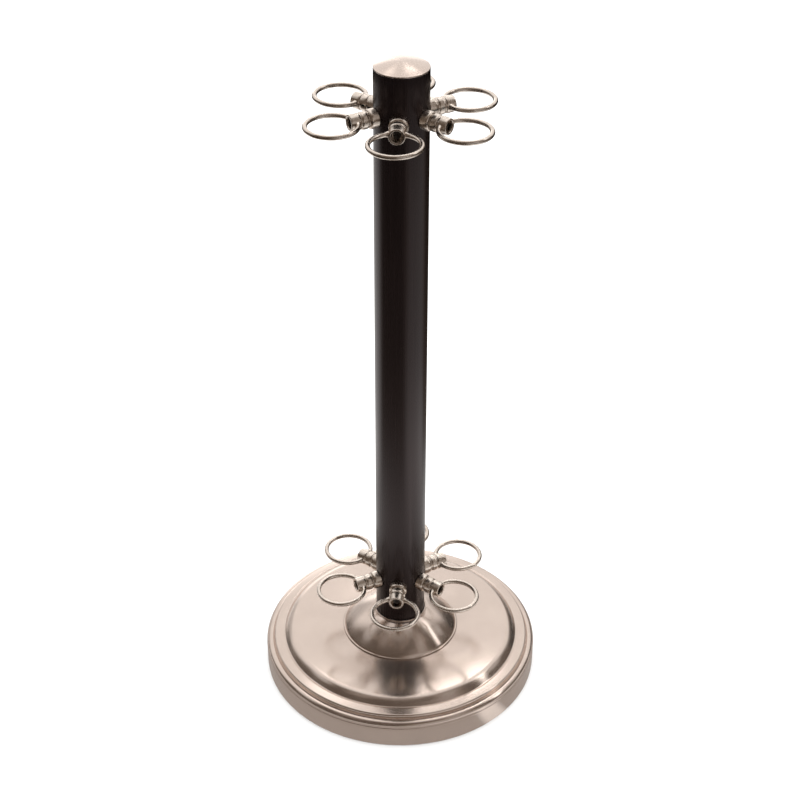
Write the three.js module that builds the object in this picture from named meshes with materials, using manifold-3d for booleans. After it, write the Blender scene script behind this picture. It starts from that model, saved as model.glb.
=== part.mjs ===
// Free-standing ring rack: a weighted round base, an upright column, and two tiers of
// horizontal wire rings on turned posts. Millimetres, +Z up, origin on the floor at the
// centre of the base. The front holder of each tier points along -Y.

import * as THREE from 'three';
import { mergeVertices } from 'three/addons/utils/BufferGeometryUtils.js';
import Module from 'manifold-3d';

const wasm = await Module();
wasm.setup();

// ---- Driving dimensions ----------------------------------------------------------------

const GAP = 0.3; // kept between pieces that touch
const COLUMN_RADIUS = 25.4;
const COLUMN_TOP = 676.1;

const BASE_RADIUS = 143.3;
const WALL_TOP = 23.3; // top of the upright outer wall
const BEAD = { r: 138.2, z: 25.0, radius: 5.1 }; // rolled bead above the wall
const BAND_OUTER = { r: 135.5, z: 29.7 }; // groove between the bead and the band
const BAND_BREAK = { r: 134.3, z: 34.2 }; // the band turns down into the groove here
const BAND_INNER = { r: 125.2, z: 35.5 };
const STEP_FOOT = { r: 123.7, z: 35.0 }; // foot of the shoulder that carries the dish
const SHOULDER = { r: 119.4, z: 39.3 }; // the shoulder gets steeper from here down
const DISH_EDGE = { r: 115.2, z: 41.8 };
const DISH_CROWN = { r: 88, z: 42.8 };
const DISH_SEAT = { r: 64, z: 42.0 }; // the dish sinks a little to its flat centre
const SHEET = 2; // thickness of the pressed shell
const SHELL_CLEARANCE = 0.6; // the pad holds the shell's rim this far off the floor

const FLANGE_RADIUS = 61;
const FLANGE_TOP = { r: 27.6, z: 66.4 };
const FLANGE_BULGE = 2.4; // how far the flange's side swells out of a straight cone
const FLANGE_SHEET = 1.8;

const PAD_HEIGHT = 3;
const PAD_HOLE = 22;
const WEIGHT_RADIUS = 134;
const WEIGHT_HEIGHT = 18;
const BOSS_RADIUS = 40; // raised centre of the weight, under the dish
const BOLT_RADIUS = 4;
const BOLT_HEAD = { r: 7.5, height: 5.4 };
const BOLT_TIP = 66;
const WASHER = { r: 12, height: 2 };
const BOLT_POCKET = { r: 15, top: 16 }; // pocket in the weight for the washer and head
const INSERT = { r: 7.5, height: 25 };

const CAP_LIP = 1.1;
const CAP_RISE = 5;
const SPIGOT = { r: 6, length: 14 };

const TIER_HEIGHTS = { lower: 110.5, upper: 633.4 };
const HOLDERS_PER_TIER = 6;
const HOLDER_PLACES = ['front', 'front_right', 'back_right', 'back', 'back_left', 'front_left'];

const RING_RADIUS = 23.5; // to the middle of the wire
const RING_CENTRE = 67.6; // from the column's axis
const WIRE_RADIUS = 2.3;
const WIRE_SEAT = 5.9; // half-distance between the wire's two ends, inside the post's wall
const SOCKET_RADIUS = 2.75; // hole in the post's wall for the wire

const COLLAR = { r: 9.1, shoulder: 30.6, front: 33, frontRadius: 8.1 };
const POST_NECK = 7.3; // radius of the two grooves beside the post's bead
const POST_BEAD = { r: 8.2, start: 34.6, end: 40.6 };
// Cup at the outer end of the post, open towards the ring.
const POST_END = { start: 42.2, startRadius: 8.1, end: 51.2, endRadius: 7.7 };
const POST_BORE = { r: 5.2, floor: 43.4 };
const SCREW_RADIUS = 1.9;
const SCREW_HOLE = 2.4;
const SCREW_HEAD = { r: 3.5, height: 4, socket: 1.7, socketDepth: 2.2 };
const SCREW_TIP = 10; // from the column's axis
const PILOT_FLOOR = 9;

const ROUND = { base: 36, flange: 28, column: 24, small: 12, screw: 6, wireSteps: 20, wireSides: 6 };

// ---- Materials -------------------------------------------------------------------------

function metal(color, roughness) {
  return new THREE.MeshStandardMaterial({ color, roughness, metalness: 1 });
}

function plain(color, roughness) {
  return new THREE.MeshStandardMaterial({ color, roughness, metalness: 0 });
}

const brushedNickel = () => metal(0xcabbae, 0.32);
const polishedNickel = () => metal(0xd8cdc2, 0.16);
const blackLacquer = () => plain(0x120f0e, 0.38);
const castIron = () => plain(0x2c2b2a, 0.75);
const rubber = () => plain(0x1a1a1a, 0.9);
const zincSteel = () => metal(0xa9abae, 0.4);
const brass = () => metal(0xb08d4a, 0.35);
const darkSteel = () => metal(0x4b4744, 0.4);

// ---- Solids ----------------------------------------------------------------------------

function toSolid(geometry) {
  const bare = geometry.clone();
  bare.deleteAttribute('normal');
  bare.deleteAttribute('uv');
  const merged = mergeVertices(bare, 1e-4);
  const mesh = new wasm.Mesh({
    numProp: 3,
    vertProperties: new Float32Array(merged.attributes.position.array),
    triVerts: new Uint32Array(merged.index.array),
  });
  return new wasm.Manifold(mesh);
}

function toGeometry(solid) {
  const mesh = solid.getMesh();
  const geometry = new THREE.BufferGeometry();
  geometry.setAttribute('position', new THREE.BufferAttribute(mesh.vertProperties, 3));
  geometry.setIndex(new THREE.BufferAttribute(mesh.triVerts, 1));
  geometry.computeVertexNormals();
  return geometry;
}

// Turned about +Z: each point of the outline is [radius, height].
function turned(outline, segments) {
  const points = outline.map(([r, z]) => new THREE.Vector2(r, z));
  return new THREE.LatheGeometry(points, segments).rotateX(Math.PI / 2);
}

// Turned about +X: each point of the outline is [radius, distance from the column's axis].
function turnedOutwards(outline, segments) {
  return turned(outline, segments).rotateY(Math.PI / 2);
}

function closed(outline) {
  return [...outline, outline[0]];
}

// Points on an elliptical arc about [r, z], angles in degrees from the +r direction.
function arc(r, z, halfR, halfZ, from, to, steps) {
  const points = [];
  for (let i = 0; i <= steps; i += 1) {
    const angle = THREE.MathUtils.degToRad(from + ((to - from) * i) / steps);
    points.push([r + halfR * Math.cos(angle), z + halfZ * Math.sin(angle)]);
  }
  return points;
}

// Points up a shallow round dome, from its rim at radius r to the axis.
function dome(r, z, rise, steps) {
  const ball = (r * r + rise * rise) / (2 * rise);
  const points = [];
  for (let i = 0; i <= steps; i += 1) {
    const across = r * (1 - i / steps);
    points.push([across, z + rise - ball + Math.sqrt(ball * ball - across * across)]);
  }
  return points;
}

// ---- Base ------------------------------------------------------------------------------

function shellGeometry() {
  const inner = BASE_RADIUS - SHEET;
  const hole = BOLT_RADIUS + 0.6;
  const outline = [
    [hole, DISH_SEAT.z - SHEET],
    [DISH_SEAT.r, DISH_SEAT.z - SHEET],
    [DISH_CROWN.r, DISH_CROWN.z - SHEET],
    [DISH_EDGE.r - SHEET, DISH_EDGE.z - SHEET],
    [STEP_FOOT.r - SHEET, STEP_FOOT.z - SHEET],
    [BAND_OUTER.r - 1, BAND_OUTER.z - SHEET],
    [inner - 1, WALL_TOP],
    [inner, WALL_TOP - SHEET],
    [inner, SHELL_CLEARANCE],
    [BASE_RADIUS, SHELL_CLEARANCE],
    [BASE_RADIUS, WALL_TOP],
    [BASE_RADIUS - 0.7, WALL_TOP + 0.3],
    ...arc(BEAD.r, BEAD.z, BEAD.radius, BEAD.radius, -12, 110, 5),
    [BAND_OUTER.r, BAND_OUTER.z],
    [BAND_BREAK.r, BAND_BREAK.z],
    [BAND_INNER.r, BAND_INNER.z],
    [STEP_FOOT.r, STEP_FOOT.z],
    [SHOULDER.r, SHOULDER.z],
    [DISH_EDGE.r, DISH_EDGE.z],
    [DISH_CROWN.r, DISH_CROWN.z],
    [DISH_SEAT.r, DISH_SEAT.z],
    [hole, DISH_SEAT.z],
  ];
  return turned(closed(outline), ROUND.base);
}

function padGeometry() {
  const rim = BASE_RADIUS - SHEET - 2 * GAP;
  const outline = [[PAD_HOLE, 0], [rim, 0], [rim, PAD_HEIGHT], [PAD_HOLE, PAD_HEIGHT]];
  return turned(closed(outline), ROUND.base);
}

function weightGeometry() {
  const bottom = PAD_HEIGHT + GAP;
  const top = bottom + WEIGHT_HEIGHT;
  const bossTop = DISH_SEAT.z - SHEET - GAP;
  const hole = BOLT_RADIUS + 0.6;
  const outline = [
    [BOLT_POCKET.r, bottom],
    [WEIGHT_RADIUS, bottom],
    [WEIGHT_RADIUS, top - 2],
    [WEIGHT_RADIUS - 2, top],
    [BOSS_RADIUS + 4, top],
    [BOSS_RADIUS, bossTop],
    [hole, bossTop],
    [hole, BOLT_POCKET.top],
    [BOLT_POCKET.r, BOLT_POCKET.top],
  ];
  return turned(closed(outline), ROUND.base);
}

// The flange's side is a cone that swells outwards by FLANGE_BULGE at its middle.
function flangeSide(offset, steps) {
  const foot = new THREE.Vector2(FLANGE_RADIUS, DISH_SEAT.z + GAP);
  const top = new THREE.Vector2(FLANGE_TOP.r, FLANGE_TOP.z - 1.2);
  const run = top.clone().sub(foot);
  const outward = new THREE.Vector2(run.y, -run.x).normalize();
  const points = [];
  for (let i = 0; i <= steps; i += 1) {
    const t = i / steps;
    const swell = 4 * t * (1 - t) * FLANGE_BULGE - offset;
    const point = foot.clone().addScaledVector(run, t).addScaledVector(outward, swell);
    points.push([point.x, point.y]);
  }
  return points;
}

function flangeGeometry() {
  const foot = DISH_SEAT.z + GAP;
  const bore = COLUMN_RADIUS + 0.5;
  const under = flangeSide(FLANGE_SHEET, 3).slice(1, 3).reverse();
  const outline = [
    [bore, FLANGE_TOP.z - 5],
    ...under,
    [FLANGE_RADIUS - FLANGE_SHEET, foot],
    [FLANGE_RADIUS, foot],
    ...flangeSide(0, 5),
    [FLANGE_TOP.r - 0.4, FLANGE_TOP.z],
    [bore, FLANGE_TOP.z],
  ];
  return turned(closed(outline), ROUND.flange);
}

function boltGeometry() {
  const headTop = BOLT_POCKET.top - WASHER.height - 2 * GAP;
  const headBottom = headTop - BOLT_HEAD.height;
  const head = turned(
    [[0, headBottom], [BOLT_HEAD.r, headBottom], [BOLT_HEAD.r, headTop], [0, headTop]],
    6,
  );
  const shank = turned(
    [[0, headTop - 1], [BOLT_RADIUS, headTop - 1], [BOLT_RADIUS, BOLT_TIP - 1],
      [BOLT_RADIUS - 1, BOLT_TIP], [0, BOLT_TIP]],
    ROUND.small,
  );
  return toGeometry(toSolid(head).add(toSolid(shank)));
}

function washerGeometry() {
  const top = BOLT_POCKET.top - GAP;
  const bottom = top - WASHER.height;
  const hole = BOLT_RADIUS + 0.4;
  const outline = [[hole, bottom], [WASHER.r, bottom], [WASHER.r, top], [hole, top]];
  return turned(closed(outline), ROUND.small);
}

// ---- Column ----------------------------------------------------------------------------

const COLUMN_FOOT = DISH_SEAT.z + GAP;

function holderAngle(index) {
  return -Math.PI / 2 + (index * 2 * Math.PI) / HOLDERS_PER_TIER;
}

function columnGeometry() {
  const insertHole = { r: INSERT.r + 0.4, top: COLUMN_FOOT + INSERT.height + 2 };
  const spigotHole = { r: SPIGOT.r + 0.4, floor: COLUMN_TOP - SPIGOT.length - 2 };
  const outline = [
    [0, insertHole.top],
    [insertHole.r, insertHole.top],
    [insertHole.r, COLUMN_FOOT],
    [COLUMN_RADIUS, COLUMN_FOOT],
    [COLUMN_RADIUS, COLUMN_TOP],
    [spigotHole.r, COLUMN_TOP],
    [spigotHole.r, spigotHole.floor],
    [0, spigotHole.floor],
  ];
  const pilot = turnedOutwards(
    [[0, PILOT_FLOOR], [SCREW_HOLE, PILOT_FLOOR], [SCREW_HOLE, COLUMN_RADIUS + 1], [0, COLUMN_RADIUS + 1]],
    ROUND.screw,
  );
  let solid = toSolid(turned(outline, ROUND.column));
  for (const height of Object.values(TIER_HEIGHTS)) {
    for (let i = 0; i < HOLDERS_PER_TIER; i += 1) {
      const hole = pilot.clone().rotateZ(holderAngle(i)).translate(0, 0, height);
      solid = solid.subtract(toSolid(hole));
    }
  }
  return toGeometry(solid);
}

function insertGeometry() {
  const bottom = COLUMN_FOOT + GAP;
  const top = bottom + INSERT.height;
  const hole = BOLT_RADIUS + 0.4;
  const outline = [[hole, bottom], [INSERT.r, bottom], [INSERT.r, top], [hole, top]];
  return turned(closed(outline), ROUND.small);
}

function capGeometry() {
  const under = COLUMN_TOP + GAP;
  const lip = under + CAP_LIP;
  const outline = [
    [0, COLUMN_TOP - SPIGOT.length],
    [SPIGOT.r, COLUMN_TOP - SPIGOT.length],
    [SPIGOT.r, under],
    [COLUMN_RADIUS, under],
    ...dome(COLUMN_RADIUS, lip, CAP_RISE, 6),
  ];
  return turned(outline, ROUND.column);
}

// ---- Ring holder -----------------------------------------------------------------------
// Each holder is built along +X, with the column's axis at x = 0 and the ring in the
// plane z = 0.

// The collar's back is hollowed to sit on the round column.
function collarGeometry() {
  const blank = closed([
    [SCREW_HOLE, COLUMN_RADIUS - 4],
    [COLLAR.r, COLUMN_RADIUS - 4],
    [COLLAR.r, COLLAR.shoulder],
    [COLLAR.r - 0.4, COLLAR.shoulder + 1.5],
    [COLLAR.frontRadius, COLLAR.front],
    [SCREW_HOLE, COLLAR.front],
  ]);
  const saddle = turned(
    [[0, -20], [COLUMN_RADIUS + GAP, -20], [COLUMN_RADIUS + GAP, 20], [0, 20]],
    ROUND.column * 2,
  );
  return toGeometry(toSolid(turnedOutwards(blank, ROUND.small)).subtract(toSolid(saddle)));
}

// Where the ring's circle passes a given distance to the side of the post's axis.
function ringAngleAt(side) {
  return Math.PI - Math.asin(side / RING_RADIUS);
}

// Wire bent round the ring's circle, open where the post holds its two ends.
function wireGeometry(wireRadius, side) {
  const gapAngle = Math.PI - ringAngleAt(side);
  class OpenRing extends THREE.Curve {
    getPoint(t, target = new THREE.Vector3()) {
      const angle = Math.PI + gapAngle + t * 2 * (Math.PI - gapAngle);
      return target.set(RING_CENTRE + RING_RADIUS * Math.cos(angle), RING_RADIUS * Math.sin(angle), 0);
    }
  }
  const section = new THREE.Shape();
  section.absarc(0, 0, wireRadius, 0, 2 * Math.PI);
  const points = section.getPoints(ROUND.wireSides / 2).slice(0, ROUND.wireSides);
  return new THREE.ExtrudeGeometry(new THREE.Shape(points), {
    steps: ROUND.wireSteps,
    extrudePath: new OpenRing(),
  });
}

function postGeometry() {
  const back = COLLAR.front + GAP;
  const outline = closed([
    [SCREW_HOLE, back],
    [POST_NECK, back],
    [POST_NECK, POST_BEAD.start - 0.4],
    [POST_BEAD.r, POST_BEAD.start + 1.6],
    [POST_BEAD.r, POST_BEAD.end - 1.6],
    [POST_NECK, POST_BEAD.end + 0.6],
    [POST_END.startRadius, POST_END.start],
    [POST_END.endRadius, POST_END.end],
    [POST_BORE.r, POST_END.end],
    [POST_BORE.r, POST_BORE.floor],
    [SCREW_HOLE, POST_BORE.floor],
  ]);
  const solid = toSolid(turnedOutwards(outline, ROUND.small));
  const sockets = toSolid(wireGeometry(SOCKET_RADIUS, WIRE_SEAT - GAP));
  return toGeometry(solid.subtract(sockets));
}

function screwGeometry() {
  const under = POST_BORE.floor + GAP;
  const top = under + SCREW_HEAD.height;
  const outline = [
    [0, SCREW_TIP],
    [SCREW_RADIUS, SCREW_TIP + 2],
    [SCREW_RADIUS, under],
    [SCREW_HEAD.r, under],
    [SCREW_HEAD.r, top],
    [SCREW_HEAD.socket, top],
    [SCREW_HEAD.socket, top - SCREW_HEAD.socketDepth],
    [0, top - SCREW_HEAD.socketDepth],
  ];
  return turnedOutwards(outline, ROUND.screw);
}

// ---- Assembly --------------------------------------------------------------------------

function addPiece(parent, name, geometry, material) {
  const mesh = new THREE.Mesh(geometry, material);
  mesh.name = name;
  parent.add(mesh);
}

function buildHolder(name, angle, height, shapes) {
  const holder = new THREE.Group();
  holder.position.z = height;
  holder.rotation.z = angle;
  addPiece(holder, `${name}_collar`, shapes.collar, polishedNickel());
  addPiece(holder, `${name}_post`, shapes.post, polishedNickel());
  addPiece(holder, `${name}_ring`, shapes.ring, polishedNickel());
  addPiece(holder, `${name}_screw`, shapes.screw, darkSteel());
  return holder;
}

function buildRack() {
  const rack = new THREE.Group();
  addPiece(rack, 'base_pad', padGeometry(), rubber());
  addPiece(rack, 'base_weight', weightGeometry(), castIron());
  addPiece(rack, 'base_shell', shellGeometry(), brushedNickel());
  addPiece(rack, 'flange_cover', flangeGeometry(), brushedNickel());
  addPiece(rack, 'base_bolt', boltGeometry(), zincSteel());
  addPiece(rack, 'base_washer', washerGeometry(), zincSteel());
  addPiece(rack, 'column', columnGeometry(), blackLacquer());
  addPiece(rack, 'column_insert', insertGeometry(), brass());
  addPiece(rack, 'top_cap', capGeometry(), brushedNickel());
  const shapes = {
    collar: collarGeometry(),
    post: postGeometry(),
    ring: wireGeometry(WIRE_RADIUS, WIRE_SEAT),
    screw: screwGeometry(),
  };
  for (const [tier, height] of Object.entries(TIER_HEIGHTS)) {
    HOLDER_PLACES.forEach((place, i) => {
      rack.add(buildHolder(`${tier}_${place}`, holderAngle(i), height, shapes));
    });
  }
  return rack;
}

export default buildRack();
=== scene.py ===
"""Looks of the free-standing ring rack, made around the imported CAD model. Metres, +Z up."""

import math
import bpy
import bmesh
from mathutils import Matrix, Vector


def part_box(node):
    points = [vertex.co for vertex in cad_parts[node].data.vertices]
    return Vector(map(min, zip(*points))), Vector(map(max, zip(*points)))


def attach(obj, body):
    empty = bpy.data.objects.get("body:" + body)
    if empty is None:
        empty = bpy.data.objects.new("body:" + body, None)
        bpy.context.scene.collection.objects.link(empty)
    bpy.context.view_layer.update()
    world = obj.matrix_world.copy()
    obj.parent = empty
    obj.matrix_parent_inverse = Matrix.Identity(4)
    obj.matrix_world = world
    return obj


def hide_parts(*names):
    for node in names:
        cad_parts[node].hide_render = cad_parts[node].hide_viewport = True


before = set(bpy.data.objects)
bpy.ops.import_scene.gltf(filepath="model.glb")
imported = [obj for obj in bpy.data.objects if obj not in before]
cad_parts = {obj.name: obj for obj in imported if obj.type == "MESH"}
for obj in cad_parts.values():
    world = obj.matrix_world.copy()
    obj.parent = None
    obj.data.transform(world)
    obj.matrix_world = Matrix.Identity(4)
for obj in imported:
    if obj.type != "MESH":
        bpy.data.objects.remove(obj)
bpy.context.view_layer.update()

MM = 0.001

# ---- Sizes read from the frame -----------------------------------------------------------

COLUMN_LOW, COLUMN_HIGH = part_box("column")
COLUMN_RADIUS = COLUMN_HIGH.x
BASE_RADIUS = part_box("base_shell")[1].x
CAP_LOW, CAP_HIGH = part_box("top_cap")
FLANGE_LOW, FLANGE_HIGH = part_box("flange_cover")
PAD_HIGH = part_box("base_pad")[1]
WEIGHT_LOW, WEIGHT_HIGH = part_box("base_weight")
BOLT_LOW, BOLT_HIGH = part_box("base_bolt")
WASHER_LOW, WASHER_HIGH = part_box("base_washer")
TIERS = ("lower", "upper")
PLACES = ("front", "front_right", "back_right", "back", "back_left", "front_left")

# ---- Sizes of the turned shapes, the same as the CAD's -----------------------------------

GAP = 0.3 * MM
SHEET = 2.0 * MM
SHELL_CLEARANCE = 0.6 * MM
WALL_TOP = 23.3 * MM
BEAD = (138.2 * MM, 25.0 * MM)
BEAD_RADIUS = 5.1 * MM
BAND_OUTER = (135.5 * MM, 29.7 * MM)
BAND_BREAK = (134.3 * MM, 34.2 * MM)
BAND_INNER = (125.2 * MM, 35.5 * MM)
STEP_FOOT = (123.7 * MM, 35.0 * MM)
SHOULDER = (119.4 * MM, 39.3 * MM)
DISH_EDGE = (115.2 * MM, 41.8 * MM)
DISH_CROWN = (88.0 * MM, 42.8 * MM)
DISH_SEAT = (64.0 * MM, 42.0 * MM)
FLANGE_BULGE = 2.4 * MM
FLANGE_BORE = COLUMN_RADIUS + 0.5 * MM
BOLT_HOLE = 4.6 * MM
PAD_HOLE = 22.0 * MM
WEIGHT_HEIGHT = 18.0 * MM
WEIGHT_BOSS = 40.0 * MM
BOLT_POCKET = 15.0 * MM
BOLT_POCKET_TOP = 16.0 * MM
BOLT_RADIUS = 4.0 * MM
BOLT_HEAD_RADIUS = 7.5 * MM
BOLT_HEAD_HEIGHT = 5.4 * MM
INSERT_HOLE = (7.9 * MM, 27.0 * MM)  # radius, depth
SPIGOT_HOLE = (6.4 * MM, 16.0 * MM)
CAP_LIP = 1.1 * MM
SPIGOT_RADIUS = 6.0 * MM

RING_RADIUS = 23.5 * MM
RING_CENTRE = 67.6 * MM
WIRE_RADIUS = 2.3 * MM
WIRE_SEAT = 5.9 * MM
COLLAR_RADIUS = 9.1 * MM
COLLAR_FRONT = 33.0 * MM
POST_BACK = 33.3 * MM
POST_GROOVE = 7.3 * MM
POST_BODY = 8.2 * MM
POST_END = 51.2 * MM
POST_END_RADIUS = 7.7 * MM
POST_BORE = 5.2 * MM
BORE_FLOOR = 43.4 * MM
SCREW_RADIUS = 1.9 * MM
SCREW_HOLE = 2.4 * MM
SCREW_HEAD_RADIUS = 3.5 * MM
SCREW_HEAD_HEIGHT = 4.0 * MM
SCREW_SOCKET = (1.7 * MM, 2.2 * MM)  # radius to the corners, depth
SCREW_TIP = 10.0 * MM

# Segments round each turned shape. The odd count keeps the saddle's corners off the collar's.
ROUND = {
    "base": 224, "pad": 160, "weight": 128, "flange": 160, "bolt": 48, "washer": 64, "column": 144,
    "holder": 72, "saddle": 255, "screw": 48, "hexagon": 6,
}

# ---- Camera ------------------------------------------------------------------------------

CAMERA_DISTANCE = 1.4071
CAMERA_HEIGHT = 1.2649
CAMERA_AZIMUTH = math.radians(4.731)
CAMERA_HEADING = math.radians(4.764)
CAMERA_PITCH = math.radians(33.65)
CAMERA_ROLL = math.radians(0.13)
CAMERA_LENS = 77.37


def make_camera():
    data = bpy.data.cameras.new("camera")
    data.lens = CAMERA_LENS
    data.sensor_width = 36.0
    data.clip_start = 0.01
    data.clip_end = 50.0
    camera = bpy.data.objects.new("camera", data)
    bpy.context.collection.objects.link(camera)
    camera.location = (
        CAMERA_DISTANCE * math.sin(CAMERA_AZIMUTH),
        -CAMERA_DISTANCE * math.cos(CAMERA_AZIMUTH),
        CAMERA_HEIGHT,
    )
    aim = Matrix.Rotation(CAMERA_HEADING, 4, "Z") @ Matrix.Rotation(math.pi / 2 - CAMERA_PITCH, 4, "X")
    camera.rotation_euler = (aim @ Matrix.Rotation(CAMERA_ROLL, 4, "Z")).to_euler()
    bpy.context.scene.camera = camera


# ---- Outlines ----------------------------------------------------------------------------

def arc(r, z, half_r, half_z, start, end, steps):
    """Points on an elliptical arc about (r, z); angles in degrees from the +r direction."""
    points = []
    for i in range(steps + 1):
        angle = math.radians(start + (end - start) * i / steps)
        points.append((r + half_r * math.cos(angle), z + half_z * math.sin(angle)))
    return points


def dome(r, z, rise, steps):
    """Points up a shallow round dome, from its rim at radius r to the axis."""
    ball = (r * r + rise * rise) / (2 * rise)
    points = []
    for i in range(steps + 1):
        across = r * (1 - i / steps)
        points.append((across, z + rise - ball + math.sqrt(ball * ball - across * across)))
    return points


def rounded(corners, closed=True, steps=5):
    """Rounds each (r, z, fillet) corner of an outline; a corner without a fillet stays sharp."""
    count = len(corners)
    points = []
    for i, corner in enumerate(corners):
        fillet = corner[2] if len(corner) > 2 else 0.0
        here = Vector(corner[:2])
        if fillet == 0.0 or (not closed and i in (0, count - 1)):
            points.append(tuple(here))
            continue
        to_last = Vector(corners[i - 1][:2]) - here
        to_next = Vector(corners[(i + 1) % count][:2]) - here
        first = here + to_last.normalized() * min(fillet, to_last.length * 0.45)
        last = here + to_next.normalized() * min(fillet, to_next.length * 0.45)
        for k in range(steps + 1):
            t = k / steps
            points.append(tuple(first * (1 - t) ** 2 + here * 2 * t * (1 - t) + last * t ** 2))
    return points


def subdivided(points, spacing, closed=True):
    """Adds points along the straight stretches, so that smooth shading stays local."""
    result = []
    count = len(points)
    for i in range(count if closed else count - 1):
        a = Vector(points[i])
        b = Vector(points[(i + 1) % count])
        pieces = max(1, math.ceil((b - a).length / spacing))
        for k in range(pieces):
            result.append(tuple(a.lerp(b, k / pieces)))
    if not closed:
        result.append(tuple(points[-1]))
    return result


# ---- Meshes ------------------------------------------------------------------------------

def new_object(name, mesh, material):
    mesh.shade_smooth()
    piece = bpy.data.objects.new(name, mesh)
    bpy.context.collection.objects.link(piece)
    mesh.materials.append(material)
    return piece


def turned(name, points, segments, closed=True):
    """Mesh of an outline of (r, z) points turned about +Z. An open outline starts and ends on the axis."""
    vertices = []
    rings = []
    for r, z in points:
        if r < 1e-7:
            rings.append([len(vertices)])
            vertices.append((0.0, 0.0, z))
            continue
        first = len(vertices)
        for k in range(segments):
            angle = 2 * math.pi * k / segments
            vertices.append((r * math.cos(angle), r * math.sin(angle), z))
        rings.append(list(range(first, first + segments)))
    faces = []
    count = len(rings)
    for i in range(count if closed else count - 1):
        low, high = rings[i], rings[(i + 1) % count]
        for k in range(segments):
            n = (k + 1) % segments
            if len(low) == 1:
                faces.append((low[0], high[n], high[k]))
            elif len(high) == 1:
                faces.append((low[k], low[n], high[0]))
            else:
                faces.append((low[k], low[n], high[n], high[k]))
    mesh = bpy.data.meshes.new(name)
    mesh.from_pydata(vertices, [], faces)
    tidy_normals(mesh)
    return mesh


def tidy_normals(mesh):
    work = bmesh.new()
    work.from_mesh(mesh)
    bmesh.ops.recalc_face_normals(work, faces=work.faces)
    work.to_mesh(mesh)
    work.free()
    mesh.update()


def lay_outwards(mesh):
    """Turns a mesh made about +Z so that its axis points along +X."""
    mesh.transform(Matrix.Rotation(math.pi / 2, 4, "Y"))
    return mesh


def cut(mesh, cutter_mesh):
    """Returns mesh with cutter_mesh taken away from it."""
    body = bpy.data.objects.new("body_to_cut", mesh)
    cutter = bpy.data.objects.new("cutter", cutter_mesh)
    for each in (body, cutter):
        bpy.context.collection.objects.link(each)
    modifier = body.modifiers.new("cut", "BOOLEAN")
    modifier.operation = "DIFFERENCE"
    modifier.solver = "EXACT"
    modifier.object = cutter
    bpy.context.view_layer.update()
    graph = bpy.context.evaluated_depsgraph_get()
    result = bpy.data.meshes.new_from_object(body.evaluated_get(graph))
    for each in (body, cutter):
        bpy.data.objects.remove(each)
    return result


# ---- Materials ---------------------------------------------------------------------------

class Nodes:
    """Short ways to add and join shader nodes in one material."""

    def __init__(self, name):
        self.material = bpy.data.materials.new(name)
        self.material.use_nodes = True
        self.tree = self.material.node_tree
        self.shader = self.tree.nodes["Principled BSDF"]

    def add(self, kind, **settings):
        node = self.tree.nodes.new(kind)
        for key, value in settings.items():
            setattr(node, key, value)
        return node

    def join(self, source, target):
        self.tree.links.new(source, target)

    def put(self, socket, value):
        if hasattr(value, "is_output"):
            self.join(value, socket)
        else:
            socket.default_value = value

    def math(self, operation, first, second=0.0):
        node = self.add("ShaderNodeMath", operation=operation)
        self.put(node.inputs[0], first)
        self.put(node.inputs[1], second)
        return node.outputs[0]

    def vector(self, x, y, z):
        node = self.add("ShaderNodeCombineXYZ")
        for socket, value in zip(node.inputs, (x, y, z)):
            self.put(socket, value)
        return node.outputs[0]

    def noise(self, vector, scale, detail=4.0, roughness=0.6):
        node = self.add("ShaderNodeTexNoise")
        self.put(node.inputs["Vector"], vector)
        node.inputs["Scale"].default_value = scale
        node.inputs["Detail"].default_value = detail
        node.inputs["Roughness"].default_value = roughness
        return node.outputs["Fac"]

    def spread(self, value, low, high, from_low=0.3, from_high=0.7):
        """Maps from_low..from_high, the middle of a noise's range, on to low..high."""
        node = self.add("ShaderNodeMapRange")
        self.put(node.inputs["Value"], value)
        node.inputs["From Min"].default_value = from_low
        node.inputs["From Max"].default_value = from_high
        node.inputs["To Min"].default_value = low
        node.inputs["To Max"].default_value = high
        return node.outputs["Result"]

    def mix(self, factor, first, second):
        node = self.add("ShaderNodeMix", data_type="RGBA")
        self.put(node.inputs[0], factor)
        node.inputs[6].default_value = (*first, 1.0)
        node.inputs[7].default_value = (*second, 1.0)
        return node.outputs[2]

    def bump(self, height, strength, distance):
        node = self.add("ShaderNodeBump")
        self.join(height, node.inputs["Height"])
        node.inputs["Strength"].default_value = strength
        node.inputs["Distance"].default_value = distance
        self.join(node.outputs["Normal"], self.shader.inputs["Normal"])

    def shade(self, **values):
        for key, value in values.items():
            self.put(self.shader.inputs[key.replace("_", " ")], value)

    def place(self):
        """Object coordinates, the unit vector outwards from the axis, the radius and the height."""
        spot = self.add("ShaderNodeTexCoord").outputs["Object"]
        parts = self.add("ShaderNodeSeparateXYZ")
        self.join(spot, parts.inputs[0])
        x, y, z = parts.outputs
        flat = self.vector(x, y, 0.0)
        length = self.add("ShaderNodeVectorMath", operation="LENGTH")
        self.join(flat, length.inputs[0])
        unit = self.add("ShaderNodeVectorMath", operation="NORMALIZE")
        self.join(flat, unit.inputs[0])
        return spot, unit.outputs["Vector"], length.outputs["Value"], z

    def wrapped(self, unit, rise, around, along):
        """Noise coordinates that go round the axis at one scale and along rise at another."""
        parts = self.add("ShaderNodeSeparateXYZ")
        self.join(unit, parts.inputs[0])
        return self.vector(
            self.math("MULTIPLY", parts.outputs[0], around),
            self.math("MULTIPLY", parts.outputs[1], around),
            self.math("MULTIPLY", rise, along),
        )


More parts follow.
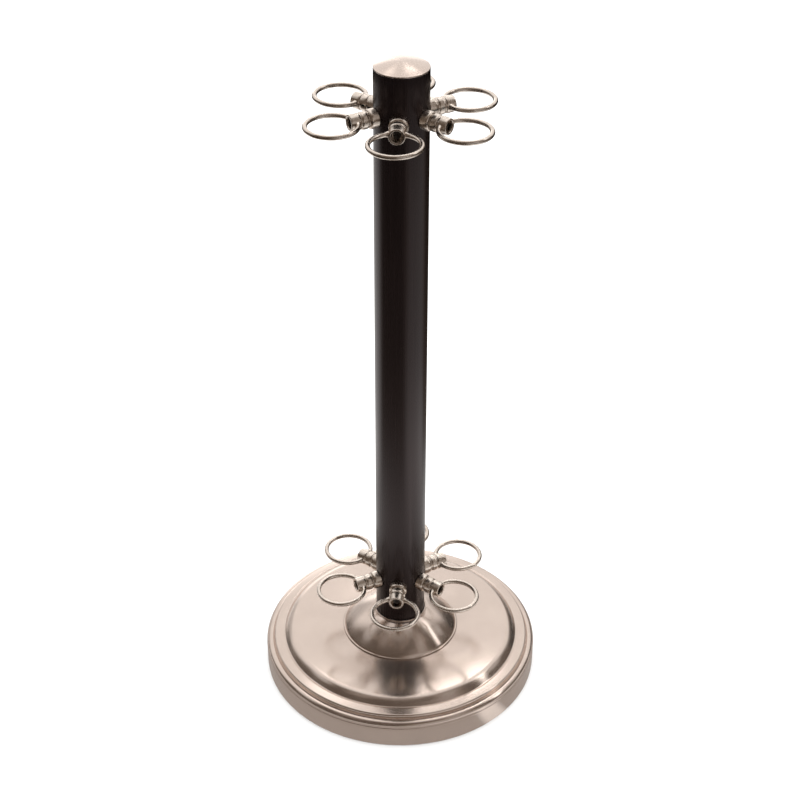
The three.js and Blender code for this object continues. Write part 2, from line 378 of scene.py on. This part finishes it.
def brushed_nickel(name, roughness=0.20):
    """Warm satin nickel, brushed round the turning axis in fine circular scratches."""
    n = Nodes(name)
    spot, unit, radius, height = n.place()
    lines = n.wrapped(unit, n.math("ADD", radius, height), around=5.0, along=1700.0)
    scratches = n.noise(lines, 1.0, detail=3.0, roughness=0.7)
    patches = n.noise(spot, 22.0, detail=3.0)
    n.shade(
        Metallic=0.98,
        Base_Color=n.mix(n.spread(patches, 0.0, 1.0), (0.655, 0.556, 0.494), (0.705, 0.6, 0.533)),
        Roughness=n.spread(scratches, roughness - 0.02, roughness + 0.03),
        Anisotropic=0.78,
        Anisotropic_Rotation=0.25,
    )
    n.bump(scratches, 0.05, 0.00006)
    return n.material


def polished_nickel():
    """Nickel plate polished to a soft mirror, with faint buffing haze."""
    n = Nodes("polished_nickel")
    spot, _, _, _ = n.place()
    haze = n.noise(spot, 240.0, detail=4.0)
    ripple = n.noise(spot, 900.0, detail=2.0)
    n.shade(
        Metallic=1.0,
        Base_Color=n.mix(n.spread(haze, 0.0, 1.0), (0.72, 0.64, 0.565), (0.79, 0.715, 0.645)),
        Roughness=n.spread(haze, 0.22, 0.30),
    )
    n.bump(ripple, 0.05, 0.0001)
    return n.material


def column_lacquer():
    """Near-black satin lacquer; the grain under it runs lengthwise."""
    n = Nodes("column_lacquer")
    _, unit, _, height = n.place()
    grain = n.noise(n.wrapped(unit, height, around=34.0, along=9.0), 1.0, detail=5.0, roughness=0.65)
    pores = n.noise(n.wrapped(unit, height, around=150.0, along=60.0), 1.0, detail=2.0)
    n.shade(
        Base_Color=n.mix(n.spread(grain, 0.0, 1.0), (0.003, 0.0017, 0.0016), (0.0062, 0.0034, 0.0031)),
        Roughness=n.spread(grain, 0.22, 0.29),
        IOR=1.5,
        Specular_Tint=(1.0, 0.84, 0.84, 1.0),
    )
    n.bump(n.math("ADD", grain, n.math("MULTIPLY", pores, 0.4)), 0.10, 0.0001)
    return n.material


def moulded_rubber():
    """Black rubber with a fine moulded speckle."""
    n = Nodes("moulded_rubber")
    spot, _, _, _ = n.place()
    speckle = n.noise(spot, 700.0, detail=5.0)
    n.shade(
        Base_Color=n.mix(n.spread(speckle, 0.0, 1.0), (0.012, 0.012, 0.012), (0.028, 0.027, 0.026)),
        Roughness=n.spread(speckle, 0.75, 0.92),
        Specular_IOR_Level=0.35,
    )
    n.bump(speckle, 0.35, 0.0003)
    return n.material


def cast_iron():
    """Dark painted casting with a lumpy skin."""
    n = Nodes("cast_iron")
    spot, _, _, _ = n.place()
    lumps = n.noise(spot, 160.0, detail=6.0, roughness=0.7)
    n.shade(
        Base_Color=n.mix(n.spread(lumps, 0.0, 1.0), (0.022, 0.021, 0.02), (0.05, 0.048, 0.046)),
        Metallic=0.35,
        Roughness=n.spread(lumps, 0.55, 0.8),
    )
    n.bump(lumps, 0.6, 0.0008)
    return n.material


def plated_steel(name, dark, light, roughness):
    """Plated or machined metal, stained between two colours."""
    n = Nodes(name)
    spot, _, _, _ = n.place()
    stain = n.noise(spot, 320.0, detail=5.0)
    n.shade(
        Metallic=1.0,
        Base_Color=n.mix(n.spread(stain, 0.0, 1.0), dark, light),
        Roughness=n.spread(stain, roughness - 0.06, roughness + 0.1),
    )
    n.bump(stain, 0.08, 0.0002)
    return n.material


# ---- Base --------------------------------------------------------------------------------

def shell_mesh():
    """Spun sheet: wall, rolled bead, groove, sloping band, and a rounded shoulder up to the dish."""
    inner = BASE_RADIUS - SHEET
    outline = rounded([
        (BOLT_HOLE, DISH_SEAT[1] - SHEET),
        (DISH_SEAT[0], DISH_SEAT[1] - SHEET, 4 * MM),
        (DISH_CROWN[0], DISH_CROWN[1] - SHEET, 8 * MM),
        (DISH_EDGE[0] - SHEET, DISH_EDGE[1] - SHEET, 3 * MM),
        (STEP_FOOT[0] - SHEET, STEP_FOOT[1] - SHEET, 1.5 * MM),
        (BAND_OUTER[0] - 1 * MM, BAND_OUTER[1] - SHEET, 1.5 * MM),
        (inner - 1 * MM, WALL_TOP, 2 * MM),
        (inner, WALL_TOP - SHEET, 1 * MM),
        (inner, SHELL_CLEARANCE, 0.4 * MM),
        (BASE_RADIUS - 0.2 * MM, SHELL_CLEARANCE, 0.6 * MM),
        (BASE_RADIUS, 3.0 * MM, 1.5 * MM),
        (BASE_RADIUS - 0.1 * MM, WALL_TOP - 0.4 * MM, 1.0 * MM),
        (BASE_RADIUS - 1.2 * MM, WALL_TOP + 0.2 * MM, 0.3 * MM),
    ])
    outline += arc(*BEAD, BEAD_RADIUS, BEAD_RADIUS, -16, 118, 26)
    outline += rounded([
        (BAND_OUTER[0] + 0.1 * MM, BAND_OUTER[1] - 0.5 * MM, 0.2 * MM),
        (BAND_OUTER[0] - 0.3 * MM, BAND_OUTER[1] - 0.2 * MM, 0.3 * MM),
        (BAND_BREAK[0] + 0.7 * MM, BAND_BREAK[1] - 1.4 * MM, 0.6 * MM),
        (*BAND_BREAK, 1.2 * MM),
        (BAND_BREAK[0] - 4 * MM, BAND_BREAK[1] + 0.7 * MM, 2.0 * MM),
        (BAND_INNER[0] + 0.6 * MM, BAND_INNER[1] + 0.1 * MM, 0.8 * MM),
        (STEP_FOOT[0] + 0.4 * MM, STEP_FOOT[1] - 0.1 * MM, 0.3 * MM),
        (STEP_FOOT[0] - 0.4 * MM, STEP_FOOT[1] + 0.3 * MM, 0.5 * MM),
        (*SHOULDER, 3.4 * MM),
        (*DISH_EDGE, 3.4 * MM),
        (101 * MM, DISH_CROWN[1] - 0.1 * MM, 14 * MM),
        (82 * MM, DISH_CROWN[1] - 0.1 * MM, 14 * MM),
        (*DISH_SEAT, 2 * MM),
        (BOLT_HOLE, DISH_SEAT[1]),
    ], closed=False)
    return turned("base_shell", subdivided(outline, 3 * MM), ROUND["base"])


def flange_mesh():
    """A shallow bell: a cone whose side swells out a little, over a thin rolled rim."""
    foot = Vector((FLANGE_HIGH.x - 1.8 * MM, FLANGE_LOW.z + 1.3 * MM))
    top = Vector((COLUMN_RADIUS + 2.4 * MM, FLANGE_HIGH.z - 1.2 * MM))
    run = top - foot
    outward = Vector((run.y, -run.x)).normalized()
    side = []
    steps = 16
    for i in range(steps + 1):
        t = i / steps
        side.append(tuple(foot + run * t + outward * 4 * t * (1 - t) * FLANGE_BULGE))
    inner_side = [(r - 1.2 * MM, z - 1.5 * MM) for r, z in side[2:14]]
    lip = rounded([
        (top.x, top.y + 0.4 * MM, 0.5 * MM),
        (top.x - 0.5 * MM, FLANGE_HIGH.z, 0.5 * MM),
        (FLANGE_BORE, FLANGE_HIGH.z, 0.4 * MM),
        (FLANGE_BORE, FLANGE_HIGH.z - 4 * MM, 0.4 * MM),
    ])
    rim = rounded([
        (foot.x - 1.6 * MM, FLANGE_LOW.z + 0.4 * MM, 0.3 * MM),
        (foot.x - 1.2 * MM, FLANGE_LOW.z, 0.3 * MM),
        (FLANGE_HIGH.x - 0.2 * MM, FLANGE_LOW.z, 0.2 * MM),
        (FLANGE_HIGH.x, FLANGE_LOW.z + 0.5 * MM, 0.4 * MM),
        (FLANGE_HIGH.x - 0.2 * MM, FLANGE_LOW.z + 1.0 * MM, 0.5 * MM),
        (FLANGE_HIGH.x - 0.9 * MM, FLANGE_LOW.z + 1.4 * MM, 0.6 * MM),
        (foot.x + 0.2 * MM, FLANGE_LOW.z + 1.25 * MM, 0.2 * MM),
    ])
    outline = rim + side + lip + inner_side[::-1]
    return turned("flange_cover", subdivided(outline, 3 * MM), ROUND["flange"])


PAD_GROOVES = 7
PAD_GROOVE_START = 30.0 * MM
PAD_GROOVE_PITCH = 16.0 * MM
PAD_GROOVE_WIDTH = 1.6 * MM
PAD_GROOVE_DEPTH = 0.8 * MM


def pad_mesh():
    """Flat rubber ring with shallow moulded grooves under it."""
    rim, top = PAD_HIGH.x, PAD_HIGH.z
    corners = [
        (rim, 0.0, 0.8 * MM),
        (rim, top, 0.5 * MM),
        (PAD_HOLE, top, 0.5 * MM),
        (PAD_HOLE, 0.0, 0.8 * MM),
    ]
    for k in range(PAD_GROOVES):
        start = PAD_GROOVE_START + k * PAD_GROOVE_PITCH
        end = start + PAD_GROOVE_WIDTH
        corners += [
            (start, 0.0, 0.3 * MM),
            (start + 0.3 * MM, PAD_GROOVE_DEPTH, 0.3 * MM),
            (end - 0.3 * MM, PAD_GROOVE_DEPTH, 0.3 * MM),
            (end, 0.0, 0.3 * MM),
        ]
    return turned("base_pad", subdivided(rounded(corners, steps=3), 8 * MM), ROUND["pad"])


def weight_mesh():
    """Cast disc with a raised middle and a pocket below for the washer and the bolt's head."""
    bottom = WEIGHT_LOW.z
    top = bottom + WEIGHT_HEIGHT
    rim = WEIGHT_HIGH.x
    outline = rounded([
        (BOLT_POCKET, bottom, 1 * MM),
        (rim, bottom, 2 * MM),
        (rim, top, 3 * MM),
        (WEIGHT_BOSS + 4 * MM, top, 4 * MM),
        (WEIGHT_BOSS, WEIGHT_HIGH.z, 2 * MM),
        (BOLT_HOLE, WEIGHT_HIGH.z, 0.5 * MM),
        (BOLT_HOLE, BOLT_POCKET_TOP),
        (BOLT_POCKET, BOLT_POCKET_TOP, 0.8 * MM),
    ])
    return turned("base_weight", subdivided(outline, 8 * MM), ROUND["weight"])


def bolt_mesh():
    """Hexagon-head bolt, the head's lower edge narrowed."""
    head_bottom = BOLT_LOW.z
    head_top = head_bottom + BOLT_HEAD_HEIGHT
    shank_outline = rounded([
        (0.0, head_top - 0.5 * MM),
        (BOLT_RADIUS, head_top - 0.5 * MM, 0.2 * MM),
        (BOLT_RADIUS, BOLT_HIGH.z - 1 * MM, 0.3 * MM),
        (BOLT_RADIUS - 1 * MM, BOLT_HIGH.z, 0.3 * MM),
        (0.0, BOLT_HIGH.z),
    ], closed=False)
    head_outline = [
        (0.0, head_bottom),
        (BOLT_HEAD_RADIUS - 1.3 * MM, head_bottom),
        (BOLT_HEAD_RADIUS, head_bottom + 0.7 * MM),
        (BOLT_HEAD_RADIUS, head_top),
        (0.0, head_top),
    ]
    shank_points = subdivided(shank_outline, 6 * MM, closed=False)
    work = bmesh.new()
    work.from_mesh(turned("bolt_shank", shank_points, ROUND["bolt"], closed=False))
    work.from_mesh(turned("bolt_head", head_outline, ROUND["hexagon"], closed=False))
    result = bpy.data.meshes.new("base_bolt")
    work.to_mesh(result)
    work.free()
    return result


def washer_mesh():
    outline = rounded([
        (BOLT_RADIUS + 0.4 * MM, WASHER_LOW.z, 0.3 * MM),
        (WASHER_HIGH.x, WASHER_LOW.z, 0.4 * MM),
        (WASHER_HIGH.x, WASHER_HIGH.z, 0.4 * MM),
        (BOLT_RADIUS + 0.4 * MM, WASHER_HIGH.z, 0.3 * MM),
    ])
    return turned("base_washer", outline, ROUND["washer"])


# ---- Column and cap ----------------------------------------------------------------------

def column_mesh():
    """Straight cylinder with a hole below for the insert and one above for the cap's spigot."""
    low, high = COLUMN_LOW.z, COLUMN_HIGH.z
    insert_radius, insert_depth = INSERT_HOLE
    spigot_radius, spigot_depth = SPIGOT_HOLE
    outline = rounded([
        (0.0, low + insert_depth),
        (insert_radius, low + insert_depth),
        (insert_radius, low, 0.5 * MM),
        (COLUMN_RADIUS, low, 0.6 * MM),
        (COLUMN_RADIUS, high, 0.5 * MM),
        (spigot_radius, high, 0.5 * MM),
        (spigot_radius, high - spigot_depth),
        (0.0, high - spigot_depth),
    ], closed=False)
    points = subdivided(outline, 12 * MM, closed=False)
    return turned("column", points, ROUND["column"], closed=False)


def cap_mesh():
    """Thin disc with a shallow dome above and a spigot below."""
    under = COLUMN_HIGH.z + GAP
    lip = under + CAP_LIP
    outline = rounded([
        (0.0, CAP_LOW.z),
        (SPIGOT_RADIUS, CAP_LOW.z, 0.8 * MM),
        (SPIGOT_RADIUS, under, 0.4 * MM),
        (COLUMN_RADIUS, under, 0.25 * MM),
        (COLUMN_RADIUS, lip, 0.5 * MM),
        (COLUMN_RADIUS - 0.6 * MM, lip + 0.3 * MM),
    ], closed=False)
    outline += dome(COLUMN_RADIUS, lip, CAP_HIGH.z - lip, 30)[1:]
    return turned("top_cap", subdivided(outline, 3 * MM, closed=False), ROUND["column"], closed=False)


# ---- Ring holders ------------------------------------------------------------------------
# Each is made along +X with the ring in the plane z = 0, then turned and lifted to its place.
# The collar and the screw's socket are turned a little, so that no cut runs through a corner.

COLLAR_TURN = math.radians(1)
SOCKET_TURN = math.radians(3)


def collar_mesh():
    """Round collar, hollowed behind to sit on the column."""
    blank = rounded([
        (SCREW_HOLE, COLUMN_RADIUS - 4 * MM),
        (COLLAR_RADIUS, COLUMN_RADIUS - 4 * MM),
        (COLLAR_RADIUS, 30.4 * MM, 1.2 * MM),
        (COLLAR_RADIUS - 0.3 * MM, 32.0 * MM, 0.9 * MM),
        (COLLAR_RADIUS - 1.2 * MM, COLLAR_FRONT, 0.6 * MM),
        (SCREW_HOLE, COLLAR_FRONT),
    ])
    body = turned("collar", subdivided(blank, 1.5 * MM), ROUND["holder"])
    body.transform(Matrix.Rotation(COLLAR_TURN, 4, "Z"))
    reach = 20 * MM
    saddle = turned("saddle", [
        (0.0, -reach),
        (COLUMN_RADIUS + GAP, -reach),
        (COLUMN_RADIUS + GAP, reach),
        (0.0, reach),
    ], ROUND["saddle"], closed=False)
    return cut(lay_outwards(body), saddle)


def post_mesh():
    """Turned post: a bead between two grooves, then an end bored for the screw's head."""
    outline = rounded([
        (SCREW_HOLE, POST_BACK),
        (POST_GROOVE, POST_BACK, 0.2 * MM),
        (POST_GROOVE, 34.2 * MM, 0.2 * MM),
        (POST_BODY - 0.4 * MM, 34.6 * MM, 0.4 * MM),
        (POST_BODY, 35.6 * MM, 0.8 * MM),
        (POST_BODY, 39.4 * MM, 0.8 * MM),
        (POST_BODY - 0.5 * MM, 40.6 * MM, 0.4 * MM),
        (POST_GROOVE, 40.9 * MM, 0.2 * MM),
        (POST_GROOVE, 41.6 * MM, 0.2 * MM),
        (POST_BODY - 0.4 * MM, 42.0 * MM, 0.4 * MM),
        (POST_BODY - 0.1 * MM, 43.2 * MM, 0.8 * MM),
        (POST_END_RADIUS + 0.1 * MM, 47.5 * MM, 1.5 * MM),
        (POST_END_RADIUS - 0.2 * MM, POST_END, 0.8 * MM),
        (POST_BORE + 0.5 * MM, POST_END, 0.4 * MM),
        (POST_BORE, POST_END - 1.0 * MM, 0.4 * MM),
        (POST_BORE, BORE_FLOOR, 0.3 * MM),
        (SCREW_HOLE, BORE_FLOOR),
    ])
    return lay_outwards(turned("post", subdivided(outline, 1.2 * MM), ROUND["holder"]))


def ring_mesh():
    """Wire bent round the ring's circle, with a brazed flare where it meets the post."""
    steps, sides = 132, 20
    flare_length, flare = 5.0 * MM, 0.9 * MM
    gap_angle = math.asin(WIRE_SEAT / RING_RADIUS)
    wall_angle = math.asin(POST_END_RADIUS / RING_RADIUS)
    span = 2 * (math.pi - gap_angle)
    vertices = []
    for i in range(steps + 1):
        t = i / steps
        crowded = t - 0.6 * math.sin(2 * math.pi * t) / (2 * math.pi)
        angle = gap_angle + span * crowded
        from_wall = min(angle, 2 * math.pi - angle) - wall_angle
        near = max(0.0, 1.0 - max(0.0, from_wall) * RING_RADIUS / flare_length)
        thick = WIRE_RADIUS + flare * near ** 2.2
        outward = Vector((-math.cos(angle), -math.sin(angle), 0.0))
        centre = Vector((RING_CENTRE, 0.0, 0.0)) + outward * RING_RADIUS
        for k in range(sides):
            turn = 2 * math.pi * k / sides
            side = outward * math.cos(turn) + Vector((0.0, 0.0, math.sin(turn)))
            vertices.append(tuple(centre + side * thick))
    faces = []
    for i in range(steps):
        for k in range(sides):
            n = (k + 1) % sides
            faces.append((i * sides + k, i * sides + n, (i + 1) * sides + n, (i + 1) * sides + k))
    faces.append(tuple(range(sides)))
    faces.append(tuple(range(steps * sides, (steps + 1) * sides)))
    mesh = bpy.data.meshes.new("ring")
    mesh.from_pydata(vertices, [], faces)
    tidy_normals(mesh)
    return mesh


def screw_mesh():
    """Socket-head screw: a turned head and shank, with a hexagonal socket cut in the head."""
    under = BORE_FLOOR + GAP
    top = under + SCREW_HEAD_HEIGHT
    outline = rounded([
        (0.0, SCREW_TIP),
        (SCREW_RADIUS, SCREW_TIP + 2 * MM, 0.5 * MM),
        (SCREW_RADIUS, under, 0.2 * MM),
        (SCREW_HEAD_RADIUS, under, 0.2 * MM),
        (SCREW_HEAD_RADIUS, top, 0.4 * MM),
        (0.0, top),
    ], closed=False, steps=3)
    body = turned("screw", subdivided(outline, 3 * MM, closed=False), ROUND["screw"], closed=False)
    socket_radius, socket_depth = SCREW_SOCKET
    socket = turned("socket", [
        (0.0, top - socket_depth),
        (socket_radius, top - socket_depth),
        (socket_radius, top + 1 * MM),
        (0.0, top + 1 * MM),
    ], ROUND["hexagon"], closed=False)
    socket.transform(Matrix.Rotation(SOCKET_TURN, 4, "Z"))
    return lay_outwards(cut(body, socket))


def holder_place(index, height):
    angle = -math.pi / 2 + index * 2 * math.pi / len(PLACES)
    return Matrix.Translation((0.0, 0.0, height)) @ Matrix.Rotation(angle, 4, "Z")


def tier_height(tier):
    low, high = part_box(f"{tier}_front_ring")
    return (low.z + high.z) / 2


def settle(piece, node, body):
    """The piece stands for a CAD node, whose own mesh is hidden, and moves with its body."""
    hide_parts(node)
    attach(piece, body)


TURNING_PARTS = ("post", "ring")


def make_holders(materials):
    shapes = {"collar": collar_mesh(), "post": post_mesh(), "ring": ring_mesh(), "screw": screw_mesh()}
    for tier in TIERS:
        for index, place in enumerate(PLACES):
            name = f"{tier}_{place}"
            for part, mesh in shapes.items():
                piece = new_object(f"{name}_{part}_smooth", mesh.copy(), materials[part])
                piece.matrix_world = holder_place(index, tier_height(tier))
                body = f"{name}_holder" if part in TURNING_PARTS else "stand"
                settle(piece, f"{name}_{part}", body)


# ---- Object ------------------------------------------------------------------------------

def make_stand():
    nickel = brushed_nickel("brushed_nickel")
    cap_nickel = brushed_nickel("brushed_nickel_cap", 0.27)
    steel = plated_steel("zinc_plate", (0.36, 0.37, 0.39), (0.52, 0.53, 0.55), 0.34)
    rows = (
        ("base_pad", pad_mesh(), moulded_rubber(), "base_rubber"),
        ("base_weight", weight_mesh(), cast_iron(), "cast_iron"),
        ("base_shell", shell_mesh(), nickel, "brushed_nickel"),
        ("flange_cover", flange_mesh(), nickel, "brushed_nickel"),
        ("base_bolt", bolt_mesh(), steel, "zinc_steel"),
        ("base_washer", washer_mesh(), steel, "zinc_steel"),
        ("column", column_mesh(), column_lacquer(), "black_lacquered_wood"),
        ("top_cap", cap_mesh(), cap_nickel, "brushed_nickel"),
    )
    for node, mesh, material, slot in rows:
        piece = new_object(f"{node}_smooth", mesh, material)
        settle(piece, node, "stand")
        if node == "base_bolt":
            piece.data.set_sharp_from_angle(angle=math.radians(25))
    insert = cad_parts["column_insert"]
    brass = plated_steel("machined_brass", (0.52, 0.36, 0.13), (0.66, 0.48, 0.2), 0.3)
    insert.data.materials.clear()
    insert.data.materials.append(brass)


def make_object():
    make_stand()
    plate = polished_nickel()
    screw_steel = plated_steel("screw_steel", (0.05, 0.046, 0.042), (0.12, 0.11, 0.1), 0.38)
    make_holders({"collar": plate, "post": plate, "ring": plate, "screw": screw_steel})


# ---- Studio ------------------------------------------------------------------------------
# Polished metal shows its surroundings, so the room is painted for it: a dome and a table top
# that only mirror reflections see. The eye sees a plain white room and a plain pale floor.

DIM_GLOW = (1.0, 0.70, 0.50)
BRIGHT_GLOW = (1.0, 0.97, 0.95)
WORLD_STRENGTH = 1.5
FLOOR_WHITE = (0.86, 0.86, 0.86, 1.0)


def glow_card(name, mesh, strength_of):
    """A surface that only reflections see, as bright as strength_of(nodes, position, unit, radius)."""
    n = Nodes(name)
    spot, unit, radius, _ = n.place()
    n.tree.nodes.remove(n.shader)
    glow = n.add("ShaderNodeEmission")
    strength = strength_of(n, spot, unit, radius)
    n.put(glow.inputs["Strength"], strength)
    warmth = n.spread(strength, 0.0, 1.0, 0.0, 0.55)
    n.put(glow.inputs["Color"], n.mix(warmth, DIM_GLOW, BRIGHT_GLOW))
    n.join(glow.outputs[0], n.tree.nodes["Material Output"].inputs[0])
    n.material.cycles.emission_sampling = "NONE"
    card = new_object(name, mesh, n.material)
    card.visible_camera = False
    card.visible_diffuse = False
    card.visible_shadow = False
    return card


def heading(azimuth, elevation):
    """Unit vector; azimuth in degrees clockwise from straight behind the object (+Y)."""
    a, e = math.radians(azimuth), math.radians(elevation)
    return Vector((math.sin(a) * math.cos(e), math.cos(a) * math.cos(e), math.sin(e)))


def lobe(n, direction, centre, inner, outer, strength):
    """A soft round patch of light about a heading, full inside inner and gone outside outer."""
    dot = n.add("ShaderNodeVectorMath", operation="DOT_PRODUCT")
    n.join(direction, dot.inputs[0])
    dot.inputs[1].default_value = centre
    fade = n.add("ShaderNodeMapRange", interpolation_type="SMOOTHSTEP")
    n.join(dot.outputs["Value"], fade.inputs["Value"])
    fade.inputs["From Min"].default_value = math.cos(math.radians(outer))
    fade.inputs["From Max"].default_value = math.cos(math.radians(inner))
    fade.inputs["To Max"].default_value = strength
    return fade.outputs["Result"]


ROOM_LIGHT = 0.11
# Patches of light in the room: heading, full and vanishing half angle, strength. A negative
# strength is shade. The wide first one lights the dish, and the narrow bright ones draw streaks
# on the rounded metal.
ROOM_LOBES = (
    (heading(-10, 38), 44, 58, 0.93),
    (heading(-42, 4), 12, 28, -0.42),
    (heading(34, 6), 9, 23, -0.80),
    (heading(-14, 6), 9, 22, 1.2),
    (heading(180, 86), 8, 24, 0.35),
    (heading(140, 12), 14, 38, 0.35),
    (heading(4, 53.5), 1, 3.5, 4.6),
    (heading(9.5, 50), 1, 3.5, 4.6),
    (heading(-24, 56), 2, 6, 1.6),
    (heading(66, 53), 3, 8, 1.6),
    (heading(73, 50), 1.5, 4, 2.4),
    (heading(78, 46), 1.5, 4, 3.0),
    (heading(84, 40), 1.5, 4, 3.0),
    (heading(88, 35), 1.5, 4, 3.0),
    (heading(91, 29), 1.5, 4, 2.4),
    (heading(70, 34), 3, 9, 0.5),
    (heading(111, 60), 3, 12, 0.26),
    (heading(122, 48), 3, 12, 0.26),
    (heading(-133, 58), 3, 12, 0.22),
    (heading(-94, 44), 4, 12, 0.5),
)


def make_room():
    work = bmesh.new()
    bmesh.ops.create_icosphere(work, subdivisions=5, radius=5.0)
    mesh = bpy.data.meshes.new("room")
    work.to_mesh(mesh)
    work.free()

    def strength(n, spot, unit, radius):
        direction = n.add("ShaderNodeVectorMath", operation="NORMALIZE")
        n.join(spot, direction.inputs[0])
        total = ROOM_LIGHT
        for centre, inner, outer, power in ROOM_LOBES:
            total = n.math("ADD", lobe(n, direction.outputs[0], centre, inner, outer, power), total)
        return n.math("MAXIMUM", total, 0.02)

    glow_card("room", mesh, strength)


# How bright the table is at each radius: painted light, with painted shade in the dim ring close to the
# base.
TABLE_RINGS = (
    (0.0, 0.46), (0.165, 0.46), (0.185, 0.34), (0.205, 0.28), (0.23, 0.75), (0.25, 1.0), (0.29, 0.9),
    (0.34, 0.72), (0.39, 0.5), (0.445, 0.27), (0.49, 0.2), (0.58, 0.11), (0.8, 0.06), (1.0, 0.05),
)
# Patches of light on the table: heading, full and vanishing half angle, strength, nearest and
# furthest radius.
TABLE_PATCHES = (
    (-48, 22, 52, 0.9, 0.3, 1.4),
    (110, 25, 58, 0.5, 0.35, 1.4),
    (110, 25, 58, 0.7, 0.26, 0.42),
    (130, 2, 8, 0.6, 0.05, 0.2),
)


def flat_mesh(name, size):
    mesh = bpy.data.meshes.new(name)
    corners = [(-size, -size, 0), (size, -size, 0), (size, size, 0), (-size, size, 0)]
    mesh.from_pydata(corners, [], [(0, 1, 2, 3)])
    return mesh


def make_table():
    def strength(n, spot, unit, radius):
        ramp = n.add("ShaderNodeFloatCurve")
        n.join(radius, ramp.inputs["Value"])
        curve = ramp.mapping.curves[0]
        while len(curve.points) < len(TABLE_RINGS):
            curve.points.new(0.5, 0.5)
        for point, mark in zip(curve.points, TABLE_RINGS):
            point.location = mark
            point.handle_type = "VECTOR"
        ramp.mapping.update()
        total = ramp.outputs[0]
        for azimuth, inner, outer, power, near, far in TABLE_PATCHES:
            patch = lobe(n, unit, heading(azimuth, 0), inner, outer, power)
            rising = n.spread(radius, 0.0, 1.0, near, near + 0.12)
            falling = n.spread(radius, 1.0, 0.0, far, far + 0.2)
            total = n.math("ADD", total, n.math("MULTIPLY", patch, n.math("MULTIPLY", rising, falling)))
        return total

    table = glow_card("table", flat_mesh("table", 4.0), strength)
    table.location.z = -1 * MM


def make_floor():
    n = Nodes("floor_paper")
    n.shade(Base_Color=FLOOR_WHITE, Roughness=0.9, Specular_IOR_Level=0.1)
    floor = new_object("floor", flat_mesh("floor", 6.0), n.material)
    floor.visible_glossy = False


def make_world():
    world = bpy.data.worlds.new("studio")
    world.use_nodes = True
    background = world.node_tree.nodes["Background"]
    background.inputs["Color"].default_value = (1.0, 1.0, 1.0, 1.0)
    background.inputs["Strength"].default_value = WORLD_STRENGTH
    bpy.context.scene.world = world


def area_light(name, place, aim, size, power):
    """A softbox that lights the floor and matt surfaces; mirrors see the room instead."""
    data = bpy.data.lights.new(name, "AREA")
    data.shape = "RECTANGLE"
    data.size, data.size_y = size
    data.energy = power
    light = bpy.data.objects.new(name, data)
    bpy.context.collection.objects.link(light)
    light.location = place
    light.rotation_euler = (Vector(aim) - Vector(place)).to_track_quat("-Z", "Y").to_euler()
    light.visible_camera = False
    light.visible_glossy = False


def make_studio():
    bpy.context.scene.view_settings.view_transform = "Standard"
    make_world()
    make_room()
    make_table()
    make_floor()
    area_light("overhead", (0.0, 0.3, 2.4), (0.0, 0.0, 0.0), (2.0, 2.0), 30.0)


make_camera()
make_object()
make_studio()
